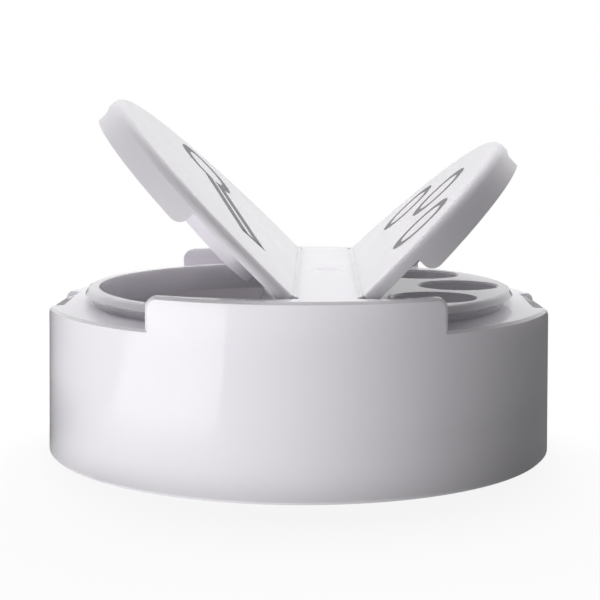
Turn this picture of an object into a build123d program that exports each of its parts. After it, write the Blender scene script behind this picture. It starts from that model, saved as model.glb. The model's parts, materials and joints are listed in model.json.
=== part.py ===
"""Flip top dispensing cap for a wide-neck jar, with a pour flap and a shaker flap.

Millimetres, +Z up. The origin is the centre of the skirt's bottom rim. The pour side is -X, the
shaker side is +X, and both hinges run along Y. The flaps are modelled half open.
"""

import os
from math import sqrt

from build123d import *

# Skirt that screws on the jar's neck
SKIRT_R = 32.75  # outer radius at the ledge
SKIRT_DRAFT = 0.3  # extra outer radius at the bottom rim
SKIRT_WALL = 1.15  # at the ledge, down to the root of the neck thread
SKIRT_EDGE = 0.35  # outer edge of the bottom rim
BORE_LEAD = 0.4  # chamfer at the mouth of the bore

# Ledge round the top of the skirt
LEDGE_Z = 19.35
LEDGE_T = 1.6
LEDGE_W = 5.65  # from the skirt's face in to the ring's foot
LEDGE_EDGE = 0.35  # chamfer round the ledge's outer edge
SCOOP_HALF_W = 8.25  # thumb scoop in the ledge, half width at ledge level
SCOOP_FLOOR_HALF_W = 6.9
SCOOP_DEPTH = 1.4  # at the skirt's widest radius
SCOOP_REACH = 2.9  # how far the scoop runs in from there

# Deck and the ring that carries the snap bead
DECK_RISE = 2.0  # deck above the ledge
DECK_T = 1.5
RING_WALL = 0.8  # at the ring's foot
RING_TOP_PROUD = 0.5  # ring's top edge outside its foot
RING_EDGE = 0.2  # chamfer on that edge
BEAD_PROUD = 1.0  # snap bead outside the ring's foot
BEAD_RISE = 1.15  # widest point of the bead above the ledge
FOOT_RISE = 0.55  # straight foot under the bead

# Front and rear panels with the hinge band between them
TOP_RISE = 3.95  # panel tops above the ledge
PANEL_HALF_W = 17.5
PANEL_CORNER = 1.5  # round at the ends of the top
PANEL_EDGE = 0.35  # chamfer on the outer top edge
POUR_HINGE_X = -0.25
SHAKER_HINGE_X = 7.5
HINGE_HALF_W = 0.45  # half the width of the thin hinge strip
WEB_T = 0.35
SLOT_L = 0.7  # end slots that run on past the hinge into the band
BAND_WALL = 1.5
GATE_D = 4.5  # dished gate mark on the band
GATE_FLOOR_D = 2.4
GATE_DEPTH = 0.3

# Pour opening and shaker holes in the deck
OPENING_LAND = 4.23  # from the pour hinge to the opening's straight side
OPENING_CORNER = 4.5
HOLE_PART = 0.55  # hole diameter as a part of the deck's width beside the shaker hinge
HOLE_LAND = 0.05  # between a hole and the ring's bore
HOLE_EDGE = 0.25
HOLE_STEP_DEG = 36.5

# Flaps
TIP_PROUD = 0.05  # tip of a closed flap outside the skirt at the ledge
FLAP_SHIFT = 3.1  # centre of a flap's round edge, off the cap's axis towards its tip
FLAP_GAP = 0.3  # between a flap's edge and the panels
FLAP_T = 1.5
FLAP_ROUND = 1.2  # round on the top edge
RIM_T = 1.3
RIM_TUCK = 2.2  # how far the rim's ends run in behind the panels
RIM_CORNER = 1.5
RIM_CLEAR = 0.15  # rim above the ledge when closed
PLUG_CLEAR = 0.3  # plugs inside the opening and the holes
POUR_PLUG_DEPTH = 1.9
POUR_PLUG_T = 1.2
HOLE_PLUG_DEPTH = 1.45
HOLE_PLUG_T = 1.0
SNAP_CLEAR = 0.25  # snap wall outside the bead
SNAP_T = 1.1
SNAP_HALF_W = 12.0
SNAP_REACH = 0.35  # snap wall below the bead's widest point
THUMB_DEPTH = 0.75  # thumb groove under the tip's top edge
THUMB_TOP = 1.95  # start of the groove below the flap's top
THUMB_ROUND = 0.45  # inner corner of the groove
POUR_LIFT_DEG = 44.6
SHAKER_LIFT_DEG = 43.8

# Heights and radii that follow
DECK_Z = LEDGE_Z + DECK_RISE
TOP_Z = LEDGE_Z + TOP_RISE
HINGE_Z = TOP_Z - WEB_T / 2
RIM_DEPTH = TOP_RISE - RIM_CLEAR
SNAP_DEPTH = TOP_RISE - BEAD_RISE + SNAP_REACH
BORE_R = SKIRT_R - SKIRT_WALL
RING_FOOT_R = SKIRT_R - LEDGE_W
RING_IN_R = RING_FOOT_R - RING_WALL
RING_TOP_R = RING_FOOT_R + RING_TOP_PROUD
BEAD_R = RING_FOOT_R + BEAD_PROUD
HOLE_D = HOLE_PART * (RING_IN_R - SHAKER_HINGE_X)
HOLE_PITCH_R = RING_IN_R - HOLE_LAND - HOLE_D / 2
OPENING_X = POUR_HINGE_X - OPENING_LAND
TIP_X = SKIRT_R + TIP_PROUD
FLAP_R = TIP_X - FLAP_SHIFT
RIM_END_X = PANEL_HALF_W - RIM_TUCK
BAND_X = (POUR_HINGE_X + SHAKER_HINGE_X) / 2
WIDE = 4 * SKIRT_R  # larger than the cap, for cutting half planes


def half_plane(edge_x, side):
    """Keep only what lies beyond edge_x on the given side of the sketch, -1 for -X and +1 for +X."""
    with Locations((edge_x + side * WIDE / 2, 0)):
        Rectangle(WIDE, WIDE, mode=Mode.INTERSECT)


def flap_plan(edge_x, side, grow=0.0):
    """Plan of a closed flap: round towards its tip, straight along its hinge strip at edge_x."""
    with BuildSketch() as plan:
        with Locations((side * FLAP_SHIFT, 0)):
            Circle(FLAP_R + grow)
        half_plane(edge_x, side)
    return plan.sketch


def opening_plan(inset=0.0):
    """Plan of the pour opening: the ring's bore with a straight side along the band."""
    with BuildSketch() as plan:
        Circle(RING_IN_R - inset)
        half_plane(OPENING_X - inset, -1)
        fillet(plan.vertices(), OPENING_CORNER - inset)
    return plan.sketch


def hole_plan(inset=0.0):
    """Plan of the three shaker holes, on an arc about the cap's axis."""
    with BuildSketch() as plan:
        with PolarLocations(HOLE_PITCH_R, 3, -HOLE_STEP_DEG, 2 * HOLE_STEP_DEG, endpoint=True):
            Circle(HOLE_D / 2 - inset)
    return plan.sketch


def plug_plan(outline, wall):
    """Plan of a plug wall that stands inside an outline, given as one of the plans above."""
    outside = outline(PLUG_CLEAR)
    inside = outline(PLUG_CLEAR + wall)
    with BuildSketch() as plan:
        add(outside)
        add(inside, mode=Mode.SUBTRACT)
    return plan.sketch


def flap_half_length(x, side):
    """Half the length of a flap across Y at x."""
    return sqrt(FLAP_R**2 - (x - side * FLAP_SHIFT) ** 2)


def tilted_top(hinge_x, turn):
    """Top plane of the closed cap turned about a hinge, with the closed cap's own X and Y in it."""
    hinge = Vector(hinge_x, 0, HINGE_Z)
    arm = (Vector(0, 0, TOP_Z) - hinge).rotate(Axis.Y, turn)
    across = Vector(1, 0, 0).rotate(Axis.Y, turn)
    return Plane(origin=hinge + arm, x_dir=across, z_dir=Vector(0, 0, 1).rotate(Axis.Y, turn))


def flap(hinge_x, side, turn, plug, plug_depth):
    """One flap in its open place: plate, rim, thumb groove, snap wall and plug."""
    top = tilted_top(hinge_x, turn)
    up = Axis(top.origin, top.z_dir)
    edge_x = hinge_x + side * HINGE_HALF_W
    plate_plan = flap_plan(edge_x, side)
    inner_plan = flap_plan(edge_x, side, -RIM_T)
    with BuildPart() as piece:
        with BuildSketch(top):
            add(plate_plan)
        extrude(amount=-FLAP_T)
        fillet(piece.edges().filter_by(GeomType.CIRCLE).sort_by(up)[-1], FLAP_ROUND)

        # Rim under the edge, from one panel round the tip to the other
        with BuildSketch(top.offset(-FLAP_T)):
            add(plate_plan)
            add(inner_plan, mode=Mode.SUBTRACT)
            half_plane(side * RIM_END_X, side)
        extrude(amount=FLAP_T - RIM_DEPTH)
        fillet(piece.edges().filter_by(Axis.Y).group_by(up)[0], RIM_CORNER)

        # Thumb groove below the tip's top edge
        tip = top.from_local_coords((side * (TIP_X - THUMB_DEPTH), 0, -THUMB_TOP))
        with BuildSketch(Plane(origin=tip, x_dir=top.x_dir * side, z_dir=top.y_dir * -side)) as groove:
            Rectangle(2 * RIM_T, 2 * RIM_DEPTH, align=(Align.MIN, Align.MAX))
            fillet(groove.vertices().sort_by_distance((0, 0))[0], THUMB_ROUND)
        extrude(amount=FLAP_R, both=True, mode=Mode.SUBTRACT)

        # Snap wall that passes the deck's bead
        with BuildSketch(top.offset(-FLAP_T)):
            Circle(BEAD_R + SNAP_CLEAR + SNAP_T)
            Circle(BEAD_R + SNAP_CLEAR, mode=Mode.SUBTRACT)
            half_plane(side * RIM_END_X, side)
            Rectangle(WIDE, 2 * SNAP_HALF_W, mode=Mode.INTERSECT)
        extrude(amount=FLAP_T - SNAP_DEPTH)

        # Plug that closes the opening below
        with BuildSketch(top.offset(-FLAP_T)):
            add(plug)
        extrude(amount=-plug_depth)
    return piece


def hinge_web(hinge_x, side, turn):
    """Thin strip that bends at the hinge: half on the band, half on the flap."""
    with BuildPart() as piece:
        with BuildSketch(Plane.XZ):
            with Locations((hinge_x, HINGE_Z)):
                Circle(WEB_T / 2)
            with Locations((hinge_x - side * HINGE_HALF_W / 2, HINGE_Z)):
                Rectangle(HINGE_HALF_W, WEB_T)
            with Locations(Location((hinge_x, HINGE_Z), -turn)):
                with Locations((side * HINGE_HALF_W / 2, 0)):
                    Rectangle(HINGE_HALF_W, WEB_T)
        extrude(amount=flap_half_length(hinge_x, side) - FLAP_ROUND, both=True)
    return piece


# Plans that the body's cuts follow
FLAP_SIDES = ((POUR_HINGE_X, -1), (SHAKER_HINGE_X, 1))
flap_rooms = [flap_plan(hinge_x - side * HINGE_HALF_W, side, FLAP_GAP) for hinge_x, side in FLAP_SIDES]
deck_cuts = (opening_plan(), hole_plan())

# Cap body
with BuildPart() as cap_body:
    with BuildSketch(Plane.XZ) as section:
        with BuildLine():
            Polyline(
                (0, DECK_Z),
                (0, DECK_Z - DECK_T),
                (RING_IN_R, DECK_Z - DECK_T),
                (RING_IN_R, LEDGE_Z - LEDGE_T),
                (BORE_R, LEDGE_Z - LEDGE_T),
                (BORE_R, BORE_LEAD),
                (BORE_R + BORE_LEAD, 0),
                (SKIRT_R + SKIRT_DRAFT, 0),
                (SKIRT_R, LEDGE_Z),
                (RING_FOOT_R, LEDGE_Z),
                (RING_FOOT_R, LEDGE_Z + FOOT_RISE),
                (BEAD_R, LEDGE_Z + BEAD_RISE),
                (RING_TOP_R, DECK_Z),
                close=True,
            )
        make_face()
        chamfer(section.vertices().sort_by_distance((SKIRT_R + SKIRT_DRAFT, 0))[0], SKIRT_EDGE)
        chamfer(section.vertices().sort_by_distance((RING_TOP_R, DECK_Z))[0], RING_EDGE)
        chamfer(section.vertices().sort_by_distance((SKIRT_R, LEDGE_Z))[0], LEDGE_EDGE)
    revolve(axis=Axis.Z)

    # Panels and band: the cap's outline between the panel ends, less the two flaps and their gaps
    with BuildSketch(Plane.XY.offset(LEDGE_Z - LEDGE_EDGE)):
        Circle(SKIRT_R)
        Rectangle(2 * PANEL_HALF_W, WIDE, mode=Mode.INTERSECT)
        add(flap_rooms, mode=Mode.SUBTRACT)
        for hinge_x, side in FLAP_SIDES:
            slot_y = flap_half_length(hinge_x, side) + FLAP_GAP / 2
            with Locations((hinge_x, slot_y), (hinge_x, -slot_y)):
                Rectangle(2 * SLOT_L, FLAP_GAP, mode=Mode.SUBTRACT)
    extrude(amount=TOP_RISE + LEDGE_EDGE)
    ends = cap_body.edges().filter_by(Axis.Y).group_by(Axis.Z)[-1].filter_by(
        lambda e: abs(abs(e.center().X) - PANEL_HALF_W) < PANEL_CORNER
    )
    fillet(ends, PANEL_CORNER)
    outer = cap_body.edges().filter_by(GeomType.CIRCLE).group_by(Axis.Z)[-1].filter_by(
        lambda e: e.radius > FLAP_R + FLAP_GAP
    )
    chamfer(outer, PANEL_EDGE)

    # Thumb scoops, sloping up inwards from the skirt's face
    for side in (-1, 1):
        outside = (side * (SKIRT_R + SKIRT_DRAFT), 0, LEDGE_Z - SCOOP_DEPTH)
        with BuildSketch(Plane(origin=outside, x_dir=(0, side, 0), z_dir=(side, 0, 0))):
            with BuildLine():
                flare = (SCOOP_HALF_W - SCOOP_FLOOR_HALF_W) / SCOOP_DEPTH
                high = 2 * SCOOP_DEPTH
                Polyline(
                    (-SCOOP_FLOOR_HALF_W, 0),
                    (SCOOP_FLOOR_HALF_W, 0),
                    (SCOOP_FLOOR_HALF_W + flare * high, high),
                    (-SCOOP_FLOOR_HALF_W - flare * high, high),
                    close=True,
                )
            make_face()
        slope = Vector(-side * SCOOP_REACH, 0, SCOOP_DEPTH)
        extrude(amount=slope.length, dir=slope, mode=Mode.SUBTRACT)

    # Pour opening and shaker holes
    with BuildSketch(Plane.XY.offset(DECK_Z)):
        add(deck_cuts)
    extrude(amount=-DECK_T, mode=Mode.SUBTRACT)
    rims = cap_body.edges().filter_by(GeomType.CIRCLE).filter_by(
        lambda e: abs(e.radius - HOLE_D / 2) < HOLE_EDGE and abs(e.center().Z - DECK_Z) < HOLE_EDGE
    )
    chamfer(rims, HOLE_EDGE)

    # Gate mark on the band, and the hollow under the band
    with Locations((BAND_X, 0, TOP_Z - GATE_DEPTH)):
        Cone(
            bottom_radius=GATE_FLOOR_D / 2,
            top_radius=GATE_D / 2,
            height=GATE_DEPTH,
            align=(Align.CENTER, Align.CENTER, Align.MIN),
            mode=Mode.SUBTRACT,
        )
    core_w = SHAKER_HINGE_X - POUR_HINGE_X - 2 * (HINGE_HALF_W + BAND_WALL)
    core_l = 2 * (RING_IN_R - BAND_WALL)
    with BuildSketch(Plane.XY.offset(DECK_Z - DECK_T)):
        with Locations((BAND_X, 0)):
            Rectangle(core_w, core_l)
    extrude(amount=TOP_RISE - DECK_RISE + DECK_T - BAND_WALL, mode=Mode.SUBTRACT)
cap_body.part.label = "cap_body"

# Flaps, the pour side with a plug wall for the opening and the shaker side with a ring for each hole
pour_plug = plug_plan(opening_plan, POUR_PLUG_T)
pour_flap = flap(POUR_HINGE_X, -1, POUR_LIFT_DEG, pour_plug, POUR_PLUG_DEPTH)
pour_flap.part.label = "pour_flap"
shaker_plugs = plug_plan(hole_plan, HOLE_PLUG_T)
shaker_flap = flap(SHAKER_HINGE_X, 1, -SHAKER_LIFT_DEG, shaker_plugs, HOLE_PLUG_DEPTH)
shaker_flap.part.label = "shaker_flap"

# Living hinges
pour_hinge_web = hinge_web(POUR_HINGE_X, -1, POUR_LIFT_DEG)
pour_hinge_web.part.label = "pour_hinge_web"
shaker_hinge_web = hinge_web(SHAKER_HINGE_X, 1, -SHAKER_LIFT_DEG)
shaker_hinge_web.part.label = "shaker_hinge_web"

os.makedirs("parts", exist_ok=True)
for piece in (cap_body, pour_flap, shaker_flap, pour_hinge_web, shaker_hinge_web):
    export_step(piece.part, f"parts/{piece.part.label}.step")
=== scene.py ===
"""Flip top cap, dressed: glossy white moulding with its neck thread, bent hinges and pictograms."""

import json
import logging
from collections.abc import Callable, Iterator
from contextlib import contextmanager
from dataclasses import dataclass
from enum import Enum
from math import cos, pi, radians, sin, tan

import bmesh
import bpy
from mathutils import Matrix, Vector


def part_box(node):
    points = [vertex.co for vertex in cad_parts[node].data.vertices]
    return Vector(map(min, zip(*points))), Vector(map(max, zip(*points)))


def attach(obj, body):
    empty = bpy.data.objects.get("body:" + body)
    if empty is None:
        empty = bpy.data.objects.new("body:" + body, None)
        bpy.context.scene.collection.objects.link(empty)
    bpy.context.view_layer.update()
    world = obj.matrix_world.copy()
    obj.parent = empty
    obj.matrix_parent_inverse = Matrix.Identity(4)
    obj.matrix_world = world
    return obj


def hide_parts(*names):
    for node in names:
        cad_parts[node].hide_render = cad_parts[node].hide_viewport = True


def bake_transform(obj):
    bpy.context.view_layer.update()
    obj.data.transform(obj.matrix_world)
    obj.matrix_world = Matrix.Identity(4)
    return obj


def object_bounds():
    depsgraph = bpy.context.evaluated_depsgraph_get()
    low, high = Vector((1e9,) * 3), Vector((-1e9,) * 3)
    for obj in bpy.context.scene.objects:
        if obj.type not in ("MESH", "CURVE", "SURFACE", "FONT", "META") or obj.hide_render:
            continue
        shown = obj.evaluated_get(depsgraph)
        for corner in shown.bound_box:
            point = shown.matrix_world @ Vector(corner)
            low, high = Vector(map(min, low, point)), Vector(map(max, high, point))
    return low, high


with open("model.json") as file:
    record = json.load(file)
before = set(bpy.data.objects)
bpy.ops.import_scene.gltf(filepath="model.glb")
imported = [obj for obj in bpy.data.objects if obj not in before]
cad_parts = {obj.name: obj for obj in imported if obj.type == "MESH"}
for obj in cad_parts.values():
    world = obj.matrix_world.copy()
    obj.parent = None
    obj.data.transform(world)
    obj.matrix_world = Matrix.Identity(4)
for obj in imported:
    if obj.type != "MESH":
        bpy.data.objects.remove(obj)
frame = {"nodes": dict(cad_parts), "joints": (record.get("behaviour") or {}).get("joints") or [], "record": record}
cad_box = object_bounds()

log = logging.getLogger("flip_top_cap")

MM = 0.001
MERGE_MM = 0.001  # points nearer than this are one
WHITE = (1, 1, 1, 1)

Colour = tuple[float, float, float]
Pair = tuple[float, float]
Socket = bpy.types.NodeSocket


class Body(str, Enum):
    """The bodies that pieces ride on, which are also the names of their main nodes."""

    CAP = "cap_body"
    POUR = "pour_flap"
    SHAKER = "shaker_flap"


class Axle(str, Enum):
    """The joints between the cap's body and its flaps."""

    POUR = "pour_flap_hinge"
    SHAKER = "shaker_flap_hinge"


# Modelling helpers


def pick_none() -> None:
    """Leave edit mode and deselect every object."""
    if bpy.context.mode != "OBJECT":
        bpy.ops.object.mode_set(mode="OBJECT")
    bpy.ops.object.select_all(action="DESELECT")


def pick(piece: bpy.types.Object) -> None:
    """Make a piece the one object that operators act on.

    Args:
        piece: The object to select.
    """
    pick_none()
    piece.select_set(True)
    bpy.context.view_layer.objects.active = piece


@contextmanager
def editing(piece: bpy.types.Object, elements: str = "VERT") -> Iterator[None]:
    """Open a piece in edit mode for the length of a block.

    Args:
        piece: The mesh object to edit.
        elements: What is picked there, VERT, EDGE or FACE.
    """
    pick(piece)
    bpy.ops.object.mode_set(mode="EDIT")
    bpy.ops.mesh.select_mode(type=elements)
    try:
        yield
    finally:
        bpy.ops.object.mode_set(mode="OBJECT")


def pick_points(piece: bpy.types.Object, wanted: Callable[[Vector], bool]) -> None:
    """Select vertices in edit mode by their place.

    Args:
        piece: The mesh object that is open in edit mode.
        wanted: Says for a vertex's place whether it is selected.
    """
    bpy.ops.mesh.select_all(action="DESELECT")
    mesh = bmesh.from_edit_mesh(piece.data)
    for vertex in mesh.verts:
        vertex.select_set(wanted(vertex.co))
    mesh.select_flush_mode()
    bmesh.update_edit_mesh(piece.data)


def face_outwards() -> None:
    """Merge what meets and turn every face of the mesh in edit mode outwards."""
    bpy.ops.mesh.select_all(action="SELECT")
    bpy.ops.mesh.remove_doubles(threshold=MERGE_MM * MM)
    bpy.ops.mesh.normals_make_consistent(inside=False)


def apply_place(piece: bpy.types.Object) -> None:
    """Move a piece's location, rotation and scale into its mesh."""
    pick(piece)
    bpy.ops.object.transform_apply(location=True, rotation=True, scale=True)


def smooth(piece: bpy.types.Object, sharp_deg: float) -> None:
    """Shade a piece smooth, with a crease where faces meet at more than the given angle."""
    pick(piece)
    bpy.ops.object.shade_smooth_by_angle(angle=radians(sharp_deg))


def named(name: str) -> bpy.types.Object:
    """Name the primitive that was just added.

    Args:
        name: The piece's name.

    Returns:
        The piece.
    """
    piece = bpy.context.active_object
    piece.name = name
    piece.data.name = name
    return piece


def dress(piece: bpy.types.Object, material: bpy.types.Material) -> None:
    """Give a piece one material all over."""
    piece.data.materials.clear()
    piece.data.materials.append(material)


# Node trees and the surface effects that materials share


class NodeBench:
    """A node tree with short ways to add and wire its nodes."""

    # Numbers of a Mix node's colour sockets
    MIX_FIRST = 6
    MIX_SECOND = 7
    MIX_RESULT = 2

    def __init__(self, tree: bpy.types.NodeTree) -> None:
        """Keep the tree that nodes are added to."""
        self.tree = tree

    def feed(self, node: bpy.types.Node, name: str | int, value: object) -> None:
        """Set one input of a node, or wire an output socket to it.

        Args:
            node: The node.
            name: The input's name or number.
            value: A value or an output socket.
        """
        socket = node.inputs[name]
        if isinstance(value, Socket):
            self.tree.links.new(value, socket)
        else:
            socket.default_value = value

    def add(
        self, kind: str, inputs: dict[str | int, object] | None = None, **settings: object
    ) -> bpy.types.Node:
        """Add a node, set its settings, and set or wire its inputs.

        Args:
            kind: The node's type name without its ShaderNode prefix.
            inputs: Values or output sockets by input name or number.
            settings: Properties of the node itself.

        Returns:
            The new node.
        """
        node = self.tree.nodes.new("ShaderNode" + kind)
        for name, value in settings.items():
            setattr(node, name, value)
        for name, value in (inputs or {}).items():
            self.feed(node, name, value)
        return node

    def math(self, operation: str, first: object, second: object = 0.0) -> Socket:
        """Add a Math node and return its value."""
        return self.add("Math", {0: first, 1: second}, operation=operation).outputs[0]

    def ramp(
        self, value: object, low: float, high: float, start: float = 0.0, end: float = 1.0
    ) -> Socket:
        """Map a value smoothly from low..high to start..end and return the result."""
        inputs = {"Value": value, "From Min": low, "From Max": high, "To Min": start, "To Max": end}
        return self.add("MapRange", inputs, interpolation_type="SMOOTHSTEP").outputs["Result"]

    def noise(self, place: Socket, size_mm: float, detail: float = 2.0) -> Socket:
        """Add a noise whose patches are about size_mm across and return its factor."""
        inputs = {"Vector": place, "Scale": 1.0 / (size_mm * MM), "Detail": detail}
        return self.add("TexNoise", inputs).outputs["Fac"]

    def stretched(self, place: Socket, scale: tuple[float, float, float]) -> Socket:
        """Scale a place along its axes and return it."""
        return self.add("Mapping", {"Vector": place, "Scale": scale}).outputs["Vector"]

    def weighed(self, first: Socket, second: Socket, share: float) -> Socket:
        """Add two values, the first by its share and the second by the rest, and return the sum."""
        rest = self.math("MULTIPLY", second, 1 - share)
        return self.math("ADD", self.math("MULTIPLY", first, share), rest)

    def mixed(self, factor: object, first: Colour | Socket, second: Colour) -> Socket:
        """Mix two colours.

        Args:
            factor: 0 for the first colour, 1 for the second.
            first: A colour or an output socket.
            second: A colour.

        Returns:
            The mixed colour.
        """
        node = self.add("Mix", {"Factor": factor}, data_type="RGBA")
        self.feed(node, self.MIX_FIRST, first if isinstance(first, Socket) else (*first, 1.0))
        self.feed(node, self.MIX_SECOND, (*second, 1.0))
        return node.outputs[self.MIX_RESULT]


# Values inside the effects below; a cut is the range of a noise that is spread from 0 to 1
FLOW_GRAINS = 24.0  # fine grains to a broad patch
FLOW_BROAD_SHARE = 0.8
FLOW_CUT = (0.3, 0.7)
HAZE_CUT = (0.35, 0.75)
DRAW_STRETCH = (1.0, 1.0, 0.03)  # lines run along the mould's draw, Z
DRAW_CUT = (0.4, 0.7)
RIPPLE_GRAINS = 5.0  # grains to a ripple
RIPPLE_COARSE_SHARE = 0.85


class Effect(Enum):
    """Surface effects of moulded plastic, each a node group that is built once.

    A member's value is the group's name and the name of what it puts out.
    """

    FLOW = ("moulding flow", "Tone")
    HAZE = ("polish haze", "Haze")
    DRAW = ("draw lines", "Lines")
    RIPPLE = ("skin ripple", "Height")

    def tree(self) -> bpy.types.NodeTree:
        """Find the effect's node group, or build it the first time.

        Returns:
            The group's tree.
        """
        name, output = self.value
        if name in bpy.data.node_groups:
            return bpy.data.node_groups[name]
        tree = bpy.data.node_groups.new(name, "ShaderNodeTree")
        tree.interface.new_socket("Place", in_out="INPUT", socket_type="NodeSocketVector")
        tree.interface.new_socket("Size mm", in_out="INPUT", socket_type="NodeSocketFloat")
        tree.interface.new_socket(output, in_out="OUTPUT", socket_type="NodeSocketFloat")
        bench = NodeBench(tree)
        source = tree.nodes.new("NodeGroupInput")
        sink = tree.nodes.new("NodeGroupOutput")
        metres = bench.math("MULTIPLY", source.outputs["Size mm"], MM)
        scale = bench.math("DIVIDE", 1.0, metres)
        bench.feed(sink, output, self.pattern(bench, source.outputs["Place"], scale))
        return tree

    def pattern(self, bench: NodeBench, place: Socket, scale: Socket) -> Socket:
        """Wire the effect's own nodes.

        Args:
            bench: The group's tree.
            place: Where on the surface the pattern is read.
            scale: How many patches go into a metre.

        Returns:
            The pattern, from 0 to 1.
        """
        if self is Effect.FLOW:
            inputs = {"Vector": place, "Scale": scale, "Detail": 3.0, "Distortion": 0.8}
            broad = bench.add("TexNoise", inputs).outputs["Fac"]
            grains = bench.math("MULTIPLY", scale, FLOW_GRAINS)
            fine = bench.add("TexNoise", {"Vector": place, "Scale": grains}).outputs["Fac"]
            return bench.ramp(bench.weighed(broad, fine, FLOW_BROAD_SHARE), *FLOW_CUT)
        if self is Effect.HAZE:
            inputs = {"Vector": place, "Scale": scale, "Detail": 5.0, "Roughness": 0.65}
            return bench.ramp(bench.add("TexNoise", inputs).outputs["Fac"], *HAZE_CUT)
        if self is Effect.DRAW:
            upright = bench.stretched(place, DRAW_STRETCH)
            inputs = {"Vector": upright, "Scale": scale, "Detail": 3.0, "Roughness": 0.7}
            return bench.ramp(bench.add("TexNoise", inputs).outputs["Fac"], *DRAW_CUT)
        coarse = bench.add("TexNoise", {"Vector": place, "Scale": scale, "Detail": 2.0}).outputs["Fac"]
        grains = bench.math("MULTIPLY", scale, RIPPLE_GRAINS)
        fine = bench.add("TexVoronoi", {"Vector": place, "Scale": grains}).outputs["Distance"]
        return bench.weighed(coarse, fine, RIPPLE_COARSE_SHARE)

    def place_in(self, bench: NodeBench, place: Socket, size_mm: float) -> Socket:
        """Put the group into a material.

        Args:
            bench: The material's tree.
            place: Where on the surface the pattern is read.
            size_mm: Size of the pattern's patches.

        Returns:
            The group's output.
        """
        node = bench.tree.nodes.new("ShaderNodeGroup")
        node.node_tree = self.tree()
        bench.feed(node, "Place", place)
        bench.feed(node, "Size mm", size_mm)
        return node.outputs[0]


# Finishes


@dataclass(frozen=True)
class Plastic:
    """White polypropylene as it comes out of a polished mould.

    Attributes:
        name: The material's name.
        light: Colour of the lighter flow patches.
        dark: Colour of the darker ones.
        gloss: Roughness of the clean polish.
        haze: Roughness where the polish is hazed by handling.
        flow_mm: Size of the flow patches.
        haze_mm: Size of the hazed patches.
        ripple_mm: Size of the skin's ripples.
        ripple_depth: How far the ripples stand out, in millimetres.
        lines: How much of the draw lines shows in the roughness.
        milk: Share of light that enters the plastic and comes out near by.
    """

    name: str
    light: Colour = (0.876, 0.851, 0.903)
    dark: Colour = (0.866, 0.841, 0.893)
    gloss: float = 0.05
    haze: float = 0.09
    flow_mm: float = 16.0
    haze_mm: float = 6.0
    ripple_mm: float = 2.4
    ripple_depth: float = 0.004
    lines: float = 0.02
    milk: float = 0.4

    DRAW_LINE_MM = 0.5
    MILK_REACH_MM = 2.5
    MILK_TINT = (1.0, 0.95, 0.9)  # how far red, green and blue go in that reach
    REFRACTION = 1.49

    def colour(self, bench: NodeBench, place: Socket) -> Socket:
        """Wire the colour from the flow of the melt and return it."""
        return bench.mixed(Effect.FLOW.place_in(bench, place, self.flow_mm), self.dark, self.light)

    def roughness(self, bench: NodeBench, place: Socket) -> Socket:
        """Wire the roughness from handling haze and draw lines.

        Args:
            bench: The material's tree.
            place: Where on the surface it is read.

        Returns:
            The roughness.
        """
        haze = Effect.HAZE.place_in(bench, place, self.haze_mm)
        draw = Effect.DRAW.place_in(bench, place, self.DRAW_LINE_MM)
        hazed = bench.ramp(haze, 0.0, 1.0, self.gloss, self.haze)
        return bench.math("ADD", hazed, bench.math("MULTIPLY", draw, self.lines))

    def height(self, bench: NodeBench, place: Socket) -> Socket:
        """Wire the height of the moulded skin and return it."""
        return Effect.RIPPLE.place_in(bench, place, self.ripple_mm)

    def material(self) -> bpy.types.Material:
        """Build the finish.

        Returns:
            The new material.
        """
        material = bpy.data.materials.new(self.name)
        material.use_nodes = True
        bench = NodeBench(material.node_tree)
        shader = material.node_tree.nodes["Principled BSDF"]
        place = bench.add("TexCoord").outputs["Object"]
        bench.feed(shader, "Base Color", self.colour(bench, place))
        bench.feed(shader, "Roughness", self.roughness(bench, place))
        height = self.height(bench, place)
        bump = {"Height": height, "Distance": self.ripple_depth * MM, "Strength": 1.0}
        bench.feed(shader, "Normal", bench.add("Bump", bump).outputs["Normal"])
        shader.inputs["IOR"].default_value = self.REFRACTION
        shader.inputs["Subsurface Weight"].default_value = self.milk
        shader.inputs["Subsurface Scale"].default_value = self.MILK_REACH_MM * MM
        shader.inputs["Subsurface Radius"].default_value = self.MILK_TINT
        return material


@dataclass(frozen=True)
class CoredPlastic(Plastic):
    """The same plastic on a piece whose inside is left satin by the mould's core.

    Attributes:
        core_radius: Radius of the bore that the core made, in metres.
        core_top: Height of the bore's top, in metres.
        satin: Roughness inside the bore.
    """

    core_radius: float = 0.0
    core_top: float = 0.0
    satin: float = 0.34

    WALL_BLUR_MM = (0.5, 0.2)  # behind the bore's wall, where satin starts and where it is full
    TOP_BLUR_MM = 0.3

    def roughness(self, bench: NodeBench, place: Socket) -> Socket:
        """Wire polish outside and satin in the bore.

        Args:
            bench: The material's tree.
            place: Where on the surface it is read.

        Returns:
            The roughness.
        """
        axes = bench.add("SeparateXYZ", {"Vector": place}).outputs
        across = bench.math("MULTIPLY", axes["X"], axes["X"])
        along = bench.math("MULTIPLY", axes["Y"], axes["Y"])
        radius = bench.math("SQRT", bench.math("ADD", across, along))
        start, full = (self.core_radius + blur * MM for blur in self.WALL_BLUR_MM)
        within = bench.ramp(radius, start, full)
        below = bench.ramp(axes["Z"], self.core_top + self.TOP_BLUR_MM * MM, self.core_top)
        polished = super().roughness(bench, place)
        extra = bench.math("MULTIPLY", bench.math("MULTIPLY", within, below), self.satin - self.gloss)
        return bench.math("ADD", polished, extra)


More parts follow.
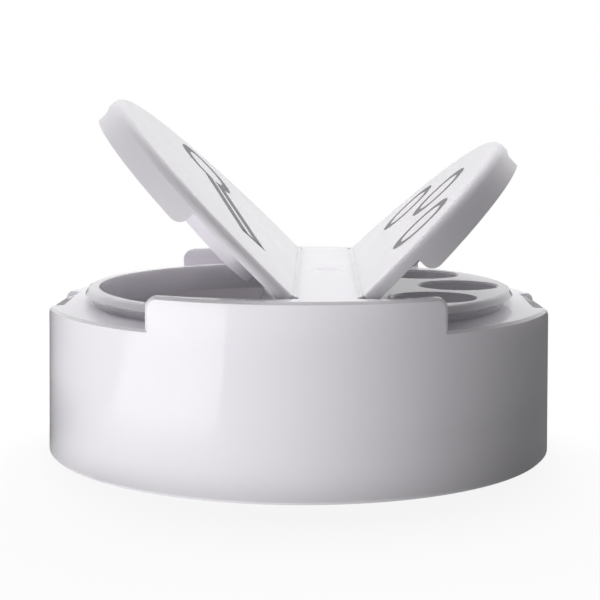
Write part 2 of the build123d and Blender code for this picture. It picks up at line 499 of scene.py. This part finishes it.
@dataclass(frozen=True)
class CreasedPlastic(Plastic):
    """The same plastic in a hinge, whitened and dulled along its crease.

    Attributes:
        crease_x: Place of the crease, in metres.
        spread: Half width of the whitened stripe, in metres.
        bleached: Colour of the stretched plastic.
        dull: Roughness there.
    """

    crease_x: float = 0.0
    spread: float = 0.0004
    bleached: Colour = (0.886, 0.868, 0.91)
    dull: float = 0.22

    WANDER_MM = 1.5  # size of the patches that make the stripe's edge uneven
    WANDER_SHARE = 0.6  # how far they move it, as a share of its half width
    FULL_SHARE = 0.3  # where the stripe is fully white, as a share of its half width

    def stretch(self, bench: NodeBench, place: Socket) -> Socket:
        """Wire the mask of the stretched stripe.

        Args:
            bench: The material's tree.
            place: Where on the surface it is read.

        Returns:
            The mask.
        """
        x = bench.add("SeparateXYZ", {"Vector": place}).outputs["X"]
        away = bench.math("ABSOLUTE", bench.math("SUBTRACT", x, self.crease_x))
        uneven = bench.noise(place, self.WANDER_MM)
        wander = bench.math("MULTIPLY", uneven, self.WANDER_SHARE * self.spread)
        full = self.FULL_SHARE * self.spread
        return bench.ramp(bench.math("ADD", away, wander), self.spread, full)

    def colour(self, bench: NodeBench, place: Socket) -> Socket:
        """Wire the flow colour, bleached along the crease, and return it."""
        return bench.mixed(self.stretch(bench, place), super().colour(bench, place), self.bleached)

    def roughness(self, bench: NodeBench, place: Socket) -> Socket:
        """Wire the polish, dulled along the crease, and return the roughness."""
        extra = bench.math("MULTIPLY", self.stretch(bench, place), self.dull - self.gloss)
        return bench.math("ADD", super().roughness(bench, place), extra)


@dataclass(frozen=True)
class GrooveShadeFinish:
    """Grey painted shade for the pictograms: it stands for the shade inside their engraved grooves, speckled paler
    in places.

    Attributes:
        name: The material's name.
        groove_shade: Colour of the painted groove shade where it is darkest.
        thin: Paler colour of the painted shade's speckles.
        rough: Roughness of the painted shade.
    """

    name: str
    # The grey is painted shade: it stands for the shade in the pictograms' engraved grooves.
    groove_shade: Colour = (0.115, 0.11, 0.12)
    thin: Colour = (0.17, 0.165, 0.178)
    rough: float = 0.38

    SPECK_MM = 0.25
    SPECK_DETAIL = 3.0
    SPECK_CUT = (0.45, 0.7)
    PALE_SPECK_EXTRA = 0.12  # how much rougher the paler speckles of the painted shade are

    def material(self) -> bpy.types.Material:
        """Build the painted groove shade.

        Returns:
            The new material.
        """
        material = bpy.data.materials.new(self.name)
        material.use_nodes = True
        bench = NodeBench(material.node_tree)
        shader = material.node_tree.nodes["Principled BSDF"]
        place = bench.add("TexCoord").outputs["Object"]
        speck = bench.ramp(bench.noise(place, self.SPECK_MM, self.SPECK_DETAIL), *self.SPECK_CUT)
        bench.feed(shader, "Base Color", bench.mixed(speck, self.groove_shade, self.thin))
        rough = bench.ramp(speck, 0.0, 1.0, self.rough, self.rough + self.PALE_SPECK_EXTRA)
        bench.feed(shader, "Roughness", rough)
        return material


# Sub-assemblies


@dataclass(frozen=True)
class Hinge:
    """A living hinge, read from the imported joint.

    Attributes:
        place: A point on the hinge's axis, in metres.
        side: -1 where the flap lies towards -X, +1 towards +X.
        lift: How far the flap stands open at rest, in radians.
    """

    place: Vector
    side: int
    lift: float

    @classmethod
    def read(cls, axle: Axle) -> "Hinge":
        """Read a hinge from the frame.

        Args:
            axle: Which joint.

        Returns:
            The hinge.
        """
        joint = next(j for j in frame["joints"] if j["name"] == axle.value)
        side = -1 if joint["axis"][1] > 0 else 1
        return cls(Vector(joint["pos_m"]), side, radians(-joint["range_deg"][0]))

    def opened(self) -> Matrix:
        """Give the turn that takes a point of the closed flap to its place at rest."""
        turn = Matrix.Rotation(-self.side * self.lift, 4, "Y")
        return Matrix.Translation(self.place) @ turn @ Matrix.Translation(-self.place)


@dataclass
class MouldedBody:
    """The three rigid mouldings, which keep their solids and get their finish.

    Attributes:
        polish: The flaps' plastic.
        cored: The body's plastic.
    """

    polish: Plastic
    cored: CoredPlastic

    def build(self) -> list[bpy.types.Object]:
        """Dress the cap's body and its flaps.

        Returns:
            The dressed nodes.
        """
        outside = self.polish.material()
        body = self.cored.material()
        nodes = []
        for part in Body:
            node = frame["nodes"][part.value]
            dress(node, body if part is Body.CAP else outside)
            nodes.append(node)
        return nodes


@dataclass
class BentWeb:
    """The thin strip of a living hinge, bent between the band and an open flap.

    Attributes:
        axle: The joint that it makes.
        flap: The flap that it carries; not used.
        node: The straight-sided solid that it stands for.
        thickness: Of the strip, in millimetres.
        half_width: Half the strip's width between band and flap, in millimetres.
        steps: Segments round the bend.
    """

    axle: Axle
    flap: Body
    node: str
    thickness: float = 0.35
    half_width: float = 0.45
    steps: int = 10

    SHARP_DEG = 40

    def build(self, finish: CreasedPlastic) -> bpy.types.Object:
        """Spin the strip's section round the bend.

        Args:
            finish: The hinge's plastic.

        Returns:
            The bent strip.
        """
        hinge = Hinge.read(self.axle)
        low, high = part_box(self.node)
        length = high[1] - low[1]
        start = hinge.place - Vector((hinge.side * self.half_width * MM, 0, 0))
        bend = self.half_width * MM / tan(hinge.lift / 2)
        pick_none()
        bpy.ops.mesh.primitive_plane_add(size=1, location=start, rotation=(0, pi / 2, 0))
        web = named(self.node + "_bent")
        web.scale = (self.thickness * MM, length, 1)
        apply_place(web)
        with editing(web, "FACE"):
            bpy.ops.mesh.select_all(action="SELECT")
            centre = start + Vector((0, 0, bend))
            bpy.ops.mesh.spin(
                steps=self.steps, angle=hinge.side * hinge.lift, center=centre, axis=(0, 1, 0)
            )
            bpy.ops.mesh.select_all(action="DESELECT")
            bpy.ops.mesh.select_mode(type="EDGE")
            bpy.ops.mesh.select_non_manifold()
            bpy.ops.mesh.fill_holes(sides=0)
            face_outwards()
        smooth(web, self.SHARP_DEG)
        dress(web, finish.material())
        end = hinge.opened() @ (hinge.place + Vector((hinge.side * self.half_width * MM, 0, 0)))
        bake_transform(web)
        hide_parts(self.node)
        return web


@dataclass
class NeckThread:
    """The thread ridge inside the skirt that takes the jar's neck.

    Attributes:
        radius: Of the bore that the ridge stands on, in metres.
        pitch: Rise of a turn, in millimetres.
        turns: Length of the ridge in turns.
        start: Height of the ridge's middle at its lower end, in millimetres.
        depth: How far the ridge stands in from the bore, in millimetres.
        root: Width of the ridge at the bore, in millimetres.
        crest: Width of its crest as a share of that.
        sink: How far its foot goes into the wall, in millimetres.
        run_out: Length over which each end fades into the wall, in millimetres.
        steps: Segments in a turn.
    """

    radius: float
    pitch: float = 4.23
    turns: float = 1.2
    start: float = 3.6
    depth: float = 0.85
    root: float = 2.1
    crest: float = 0.45
    sink: float = 0.08
    run_out: float = 9.0
    steps: int = 120

    SHARP_DEG = 50
    END_SHARE = 0.75  # how far round its end's middle the ridge is picked, as a share of its root

    def build(self, finish: Plastic) -> bpy.types.Object:
        """Sweep the ridge's section up the bore and fade its ends.

        Args:
            finish: The plastic inside the skirt.

        Returns:
            The ridge.
        """
        tall = self.depth + self.sink
        middle = Vector((self.radius + (self.sink - tall / 2) * MM, 0, self.start * MM))
        pick_none()
        bpy.ops.mesh.primitive_plane_add(size=1, location=middle, rotation=(pi / 2, 0, 0))
        ridge = named("neck_thread")
        ridge.scale = (tall * MM, self.root * MM, 1)
        apply_place(ridge)
        with editing(ridge):
            pick_points(ridge, lambda place: place.x < middle.x)
            bpy.ops.transform.resize(value=(1, 1, self.crest), center_override=middle)
            bpy.ops.mesh.select_all(action="SELECT")
            bpy.ops.mesh.delete(type="ONLY_FACE")
        screw = ridge.modifiers.new("rise", "SCREW")
        screw.axis = "Z"
        screw.angle = 2 * pi * self.turns
        screw.screw_offset = self.pitch * self.turns * MM
        screw.steps = round(self.steps * self.turns)
        screw.render_steps = screw.steps
        pick(ridge)
        bpy.ops.object.modifier_apply(modifier=screw.name)
        with editing(ridge, "EDGE"):
            bpy.ops.mesh.select_all(action="DESELECT")
            bpy.ops.mesh.select_non_manifold()
            bpy.ops.mesh.fill_holes(sides=0)
            face_outwards()
        self.fade_end(ridge, 0.0)
        self.fade_end(ridge, self.turns)
        smooth(ridge, self.SHARP_DEG)
        dress(ridge, finish.material())
        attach(ridge, Body.CAP.value)
        return ridge

    def fade_end(self, ridge: bpy.types.Object, turn: float) -> None:
        """Sink one end of the ridge into the wall.

        Args:
            ridge: The swept ridge.
            turn: Where the end is, in turns from the start.
        """
        angle = 2 * pi * turn
        out = Vector((cos(angle), sin(angle), 0))
        end = out * self.radius + Vector((0, 0, (self.start + self.pitch * turn) * MM))
        near = self.END_SHARE * self.root * MM
        with editing(ridge):
            pick_points(ridge, lambda place: (place - end).length < near)
            bpy.ops.transform.translate(
                value=out * self.depth * MM,
                use_proportional_edit=True,
                proportional_edit_falloff="SMOOTH",
                proportional_size=self.run_out * MM,
                use_proportional_connected=True,
            )


@dataclass
class PictogramGrooveShade:
    """Pictograms on the flaps' tops, a spoon on one and three shaker holes on the other, laid as flat sheets of
    painted shade that stand for the shade in their engraved grooves.

    Attributes:
        line: Width of the spoon's line, in millimetres.
        ring_line: Width of a hole pictogram's line, in millimetres.
        film: Thickness of the painted shade sheet, in millimetres.
        ring_radius: Outer radius of a hole pictogram, in millimetres.
        ring_pitch: Radius of the arc that the holes stand on, in millimetres.
        ring_step: Angle between them, in degrees.
        bowl: Half width and half length of the spoon's bowl, in millimetres.
        bowl_place: Middle of the bowl in plan, in millimetres.
        neck_share: Share of the bowl's width within which its edge is drawn out as the handle.
        handle: Length of the handle, in millimetres.
        handle_end: What half of that share grows to at the handle's end, in millimetres.
        tilt: Turn of the spoon from the Y axis, in degrees.
    """

    line: float = 1.5
    ring_line: float = 1.3
    film: float = 0.03
    ring_radius: float = 4.55
    ring_pitch: float = 22.6
    ring_step: float = 36.5
    bowl: Pair = (4.4, 6.4)
    bowl_place: Pair = (-18.5, 12.4)
    neck_share: float = 0.5
    handle: float = 22.5
    handle_end: float = 2.45
    tilt: float = 21.9

    CIRCLE_POINTS = 72
    SUNK_SHARE = 0.3  # how much of the film lies below the flap's top

    def build(self, groove_shade: GrooveShadeFinish) -> list[bpy.types.Object]:
        """Lay the painted groove shade on both flaps.

        Args:
            groove_shade: The finish of the painted groove shade.

        Returns:
            The sheets of painted groove shade.
        """
        material = groove_shade.material()
        shade_sheets = [(self.spoon(), Axle.POUR, Body.POUR)]
        for number in (-1, 0, 1):
            shade_sheets.append((self.ring(number), Axle.SHAKER, Body.SHAKER))
        for piece, axle, flap in shade_sheets:
            self.lay(piece, Hinge.read(axle))
            dress(piece, material)
            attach(piece, flap.value)
        return [piece for piece, _, _ in shade_sheets]

    def disc(self, name: str) -> bpy.types.Object:
        """Add a round face of radius 1 mm at the origin.

        Args:
            name: The piece's name.

        Returns:
            The flat disc.
        """
        pick_none()
        bpy.ops.mesh.primitive_circle_add(vertices=self.CIRCLE_POINTS, radius=MM, fill_type="NGON")
        return named(name)

    def ring(self, number: int) -> bpy.types.Object:
        """Outline one hole pictogram in painted groove shade.

        Args:
            number: Its place on the arc, -1, 0 or 1.

        Returns:
            The flat ring of painted shade.
        """
        ring = self.disc(f"printed_hole_{number + 2}")
        angle = radians(number * self.ring_step)
        ring.scale = (self.ring_radius, self.ring_radius, 1)
        ring.location = Vector((cos(angle), sin(angle), 0)) * self.ring_pitch * MM
        apply_place(ring)
        self.outline(ring, self.ring_line)
        return ring

    def spoon(self) -> bpy.types.Object:
        """Outline the spoon pictogram in painted groove shade: a bowl with a handle drawn out of its lower end.

        Returns:
            The flat spoon of painted shade.
        """
        spoon = self.disc("printed_spoon")
        half_width, half_length = self.bowl
        spoon.scale = (half_width, half_length, 1)
        apply_place(spoon)
        neck = half_width * self.neck_share * MM
        with editing(spoon):
            pick_points(spoon, lambda place: place.y < 0 and abs(place.x) < neck)
            bpy.ops.mesh.select_mode(type="EDGE")
            pull = {"value": (0, -self.handle * MM, 0)}
            bpy.ops.mesh.extrude_edges_move(TRANSFORM_OT_translate=pull)
            end = Vector((0, -(half_length + self.handle) * MM, 0))
            bpy.ops.transform.resize(value=(self.handle_end * MM / neck, 0, 1), center_override=end)
            bpy.ops.mesh.select_mode(type="FACE")
            bpy.ops.mesh.select_all(action="SELECT")
            bpy.ops.mesh.dissolve_faces()
        # The handle's end keeps the points it was drawn from, so the line overlaps at its two corners
        self.outline(spoon, self.line)
        spoon.rotation_euler = (0, 0, radians(self.tilt))
        spoon.location = Vector((*self.bowl_place, 0)) * MM
        apply_place(spoon)
        return spoon

    def outline(self, piece: bpy.types.Object, line: float) -> None:
        """Turn a flat face into a line of painted shade along its edge.

        Args:
            piece: The mesh object with one face.
            line: Width of the line, in millimetres.
        """
        with editing(piece, "FACE"):
            bpy.ops.mesh.select_all(action="SELECT")
            bpy.ops.mesh.inset(thickness=line * MM, depth=0)
            bpy.ops.mesh.delete(type="FACE")
            bpy.ops.mesh.select_all(action="SELECT")
            rise = {"value": (0, 0, self.film * MM)}
            bpy.ops.mesh.extrude_region_move(TRANSFORM_OT_translate=rise)
            face_outwards()

    def lay(self, piece: bpy.types.Object, hinge: Hinge) -> None:
        """Lay a flat sheet of painted shade on its open flap.

        Args:
            piece: The sheet of painted shade, flat at height 0.
            hinge: The flap's hinge.
        """
        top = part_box(Body.CAP.value)[1][2]
        sunk = Matrix.Translation((0, 0, top - self.SUNK_SHARE * self.film * MM))
        piece.matrix_world = hinge.opened() @ sunk
        apply_place(piece)


# Studio


@dataclass(frozen=True)
class Softbox:
    """A rectangular lamp that faces the cap and isn't mirrored in its gloss.

    Attributes:
        name: The lamp's name.
        azimuth: Its direction round the cap, in degrees, 0 at the camera's side and 90 at +X.
        elevation: Its height over the horizon, in degrees.
        distance: From the cap, in metres.
        width: In metres.
        height: In metres.
        radiance: Brightness of its face, where 1 is white.
    """

    name: str
    azimuth: float
    elevation: float
    distance: float
    width: float
    height: float
    radiance: float

    def build(self, target: Vector) -> bpy.types.Object:
        """Add the lamp.

        Args:
            target: The point that it faces.

        Returns:
            The lamp's object.
        """
        around, up = radians(self.azimuth), radians(self.elevation)
        towards = Vector((sin(around) * cos(up), -cos(around) * cos(up), sin(up)))
        lamp = bpy.data.lights.new(self.name, "AREA")
        lamp.shape = "RECTANGLE"
        lamp.size = self.width
        lamp.size_y = self.height
        lamp.energy = self.radiance * pi * self.width * self.height
        holder = bpy.data.objects.new(self.name, lamp)
        holder.visible_glossy = False
        holder.location = target + towards * self.distance
        holder.rotation_euler = towards.to_track_quat("Z", "Y").to_euler()
        bpy.context.scene.collection.objects.link(holder)
        return holder


@dataclass(frozen=True)
class TableGlow:
    """A patch of the white table that throws light back at the cap.

    Attributes:
        radiance: Its brightness, where 1 is white.
        edges: Directions of its two sides, in degrees, 0 at the camera's side and 90 at +X.
        side_blur: How far inside each side it reaches its full brightness, in degrees.
        reach: Distances from the cap's axis where it begins and ends, in metres.
    """

    radiance: float
    edges: Pair
    side_blur: Pair
    reach: Pair = (0.06, 4.0)

    REACH_BLUR = (0.03, 0.03)

    def level(self, bench: NodeBench, azimuth: Socket, away: Socket) -> Socket:
        """Wire the patch's brightness.

        Args:
            bench: The floor's tree.
            azimuth: Direction of the place on the floor, in degrees.
            away: Its distance from the cap's axis, in metres.

        Returns:
            The brightness at that place.
        """
        sides = self.between(bench, azimuth, self.edges, self.side_blur)
        ends = self.between(bench, away, self.reach, self.REACH_BLUR)
        return bench.math("MULTIPLY", bench.math("MULTIPLY", sides, ends), self.radiance)

    @staticmethod
    def between(bench: NodeBench, value: Socket, edges: Pair, blur: Pair) -> Socket:
        """Wire a mask that is 1 between two edges.

        Args:
            bench: The tree to wire it in.
            value: What is compared with the edges.
            edges: The lower and the upper edge.
            blur: How far inside each edge the mask reaches 1.

        Returns:
            The mask.
        """
        rise = bench.ramp(value, edges[0], edges[0] + blur[0])
        fall = bench.ramp(value, edges[1], edges[1] - blur[1])
        return bench.math("MULTIPLY", rise, fall)


@dataclass(frozen=True)
class ViewPoint:
    """The camera of the photograph, fitted to the cap's own edges.

    Attributes:
        distance: From the cap's axis, in millimetres.
        height: Over the floor, in millimetres.
        azimuth: Round the cap, in degrees.
        yaw: Off the cap's axis, in degrees.
        pitch: Down from the horizon, in degrees.
        roll: Round the line of sight, in degrees.
        focal: Focal length as a share of the picture's width.
    """

    distance: float = 206.09
    height: float = 46.42
    azimuth: float = 0.59
    yaw: float = -0.041
    pitch: float = 7.511
    roll: float = 0.235
    focal: float = 2.6068

    NEAREST = 0.01  # metres

    def build(self) -> bpy.types.Object:
        """Add the camera and make it the scene's own.

        Returns:
            The camera's object.
        """
        around, heading = radians(self.azimuth), radians(self.azimuth + self.yaw)
        down, roll = radians(self.pitch), radians(self.roll)
        ahead = Vector((-sin(heading) * cos(down), cos(heading) * cos(down), -sin(down)))
        right = Vector((cos(heading), sin(heading), 0))
        up = right.cross(ahead)
        turned_right = right * cos(roll) + up * sin(roll)
        turned_up = up * cos(roll) - right * sin(roll)
        data = bpy.data.cameras.new("photo_camera")
        data.lens = self.focal * data.sensor_width
        data.clip_start = self.NEAREST
        camera = bpy.data.objects.new("photo_camera", data)
        axes = Matrix((turned_right, turned_up, -ahead)).transposed().to_4x4()
        place = Vector((self.distance * sin(around), -self.distance * cos(around), self.height)) * MM
        camera.matrix_world = Matrix.Translation(place) @ axes
        bpy.context.scene.collection.objects.link(camera)
        bpy.context.scene.camera = camera
        return camera


@dataclass
class Studio:
    """Pale floor, white surround, soft lamps and the camera.

    The cap is lit from above and behind, and from the front left by what a white table throws back.

    Attributes:
        lamps: The soft boxes.
        room: Brightness of the room in front of the cap.
        backdrop: Brightness of the backdrop behind it.
        glows: The patches of the table that throw light back.
        shadow_share: How much of the floor's own shading the camera sees near the cap.
        shadow_reach: Distances from the cap over which that fades, in metres.
        mirror_share: How much of the white surround the gloss shows.
    """

    lamps: tuple[Softbox, ...] = (
        Softbox("back_softbox", 180, 52, distance=0.6, width=0.5, height=0.6, radiance=5.0),
        Softbox("left_softbox", -140, 40, distance=0.6, width=0.6, height=0.5, radiance=0.3),
    )
    room: float = 0.12
    backdrop: float = 0.78
    glows: tuple[TableGlow, ...] = (
        TableGlow(0.46, edges=(-140, 60), side_blur=(35, 80)),
        TableGlow(0.78, edges=(-70, 60), side_blur=(30, 80)),
        TableGlow(1.9, edges=(-77, -27), side_blur=(9, 2)),
        TableGlow(2.05, edges=(-100, 62), side_blur=(50, 90), reach=(0.02, 0.09)),
    )
    shadow_share: float = 0.12
    shadow_reach: Pair = (0.05, 0.2)
    mirror_share: float = 0.04

    FLOOR_SIZE = 8.0
    FLOOR_COLOUR = (0.92, 0.92, 0.92, 1)
    BACKDROP_CUT = (0.25, 0.85)  # how far to the back the backdrop starts and is full

    def build(self) -> None:
        """Set up the floor, the world, the lamps and the camera."""
        low, high = cad_box
        middle = Vector((0, 0, (low[2] + high[2]) / 2))
        self.floor()
        self.world()
        for lamp in self.lamps:
            lamp.build(middle)
        ViewPoint().build()
        bpy.context.scene.view_settings.view_transform = "Standard"

    def white_rays(self, bench: NodeBench) -> Socket:
        """Wire the share of the white surround that a ray sees.

        Args:
            bench: The floor's or the world's tree.

        Returns:
            The share.
        """
        path = bench.add("LightPath").outputs
        gloss = bench.math("ADD", path["Is Glossy Ray"], path["Is Transmission Ray"])
        mirrored = bench.math("MULTIPLY", gloss, self.mirror_share)
        return bench.math("ADD", path["Is Camera Ray"], mirrored)

    def thrown_light(self, bench: NodeBench, place: Socket) -> Socket:
        """Wire how much light the table throws back at each place.

        Args:
            bench: The floor's tree.
            place: The place on the floor.

        Returns:
            The brightness.
        """
        axes = bench.add("SeparateXYZ", {"Vector": place}).outputs
        turn = bench.math("ARCTAN2", axes["X"], bench.math("MULTIPLY", axes["Y"], -1.0))
        azimuth = bench.math("DEGREES", turn)
        away = bench.add("VectorMath", {0: place}, operation="LENGTH").outputs["Value"]
        level: Socket | float = self.room
        for glow in self.glows:
            level = bench.math("ADD", glow.level(bench, azimuth, away), level)
        return level

    def floor(self) -> None:
        """Lay the floor: white away from the cap, with its shadow near it, and sheer from below."""
        pick_none()
        bpy.ops.mesh.primitive_plane_add(size=self.FLOOR_SIZE)
        floor = named("floor")
        material = bpy.data.materials.new("pale floor")
        material.use_nodes = True
        tree = material.node_tree
        tree.nodes.clear()
        bench = NodeBench(tree)
        place = bench.add("TexCoord").outputs["Object"]
        away = bench.add("VectorMath", {0: place}, operation="LENGTH").outputs["Value"]
        lit = bench.add("BsdfDiffuse", {"Color": self.FLOOR_COLOUR}).outputs[0]
        thrown = bench.add("Emission", {"Strength": self.thrown_light(bench, place)}).outputs[0]
        white = bench.add("Emission", {"Color": WHITE, "Strength": 1.0}).outputs[0]
        clear = bench.ramp(away, *self.shadow_reach, 1 - self.shadow_share, 1.0)
        seen = bench.add("MixShader", {0: clear, 1: lit, 2: white}).outputs[0]
        whole = bench.add("MixShader", {0: self.white_rays(bench), 1: thrown, 2: seen}).outputs[0]
        below = bench.add("NewGeometry").outputs["Backfacing"]
        sheer = bench.add("BsdfTransparent").outputs[0]
        one_sided = bench.add("MixShader", {0: below, 1: whole, 2: sheer}).outputs[0]
        bench.feed(tree.nodes.new("ShaderNodeOutputMaterial"), "Surface", one_sided)
        dress(floor, material)

    def world(self) -> None:
        """Make the room: dark in front, a bright backdrop behind, white where the camera looks."""
        world = bpy.data.worlds.new("studio room")
        bpy.context.scene.world = world
        world.use_nodes = True
        tree = world.node_tree
        tree.nodes.clear()
        bench = NodeBench(tree)
        towards = bench.add("TexCoord").outputs["Generated"]
        back = bench.add("SeparateXYZ", {"Vector": towards}).outputs["Y"]
        level = bench.ramp(back, *self.BACKDROP_CUT, self.room, self.backdrop)
        room = bench.add("Background", {"Color": WHITE, "Strength": level}).outputs[0]
        white = bench.add("Background", {"Color": WHITE, "Strength": 1.0}).outputs[0]
        whole = bench.add("MixShader", {0: self.white_rays(bench), 1: room, 2: white}).outputs[0]
        bench.feed(tree.nodes.new("ShaderNodeOutputWorld"), "Surface", whole)


def bore() -> Pair:
    """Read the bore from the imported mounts.

    Returns:
        Its radius and the height of its top, in metres.
    """
    mount = next(m for m in frame["record"]["mounts"] if m["kind"] == "threaded_hole")
    return mount["dims"]["r_mm"] * MM, mount["pos_m"][2] + mount["dims"]["length_mm"] * MM / 2


def main() -> None:
    """Build and dress the cap, then set it in the studio."""
    logging.basicConfig(level=logging.INFO, format="%(name)s: %(message)s")
    radius, top = bore()
    pieces = MouldedBody(
        Plastic("flap plastic", milk=0.15),
        CoredPlastic("body plastic", core_radius=radius, core_top=top),
    ).build()
    for axle, flap in ((Axle.POUR, Body.POUR), (Axle.SHAKER, Body.SHAKER)):
        node = flap.value.replace("_flap", "_hinge_web")
        crease = CreasedPlastic(node + " plastic", crease_x=Hinge.read(axle).place.x)
        pieces.append(BentWeb(axle, flap, node).build(crease))
    satin = Plastic("thread plastic", gloss=0.3, haze=0.38)
    pieces.append(NeckThread(radius).build(satin))
    # The pictograms' grey lines are painted shade for their engraved grooves.
    pieces.extend(PictogramGrooveShade().build(GrooveShadeFinish("painted groove shade grey")))
    for piece in pieces:
        log.info("%s: %d faces", piece.name, len(piece.data.polygons))
    Studio().build()
    pick_none()


if __name__ == "__main__":
    main()
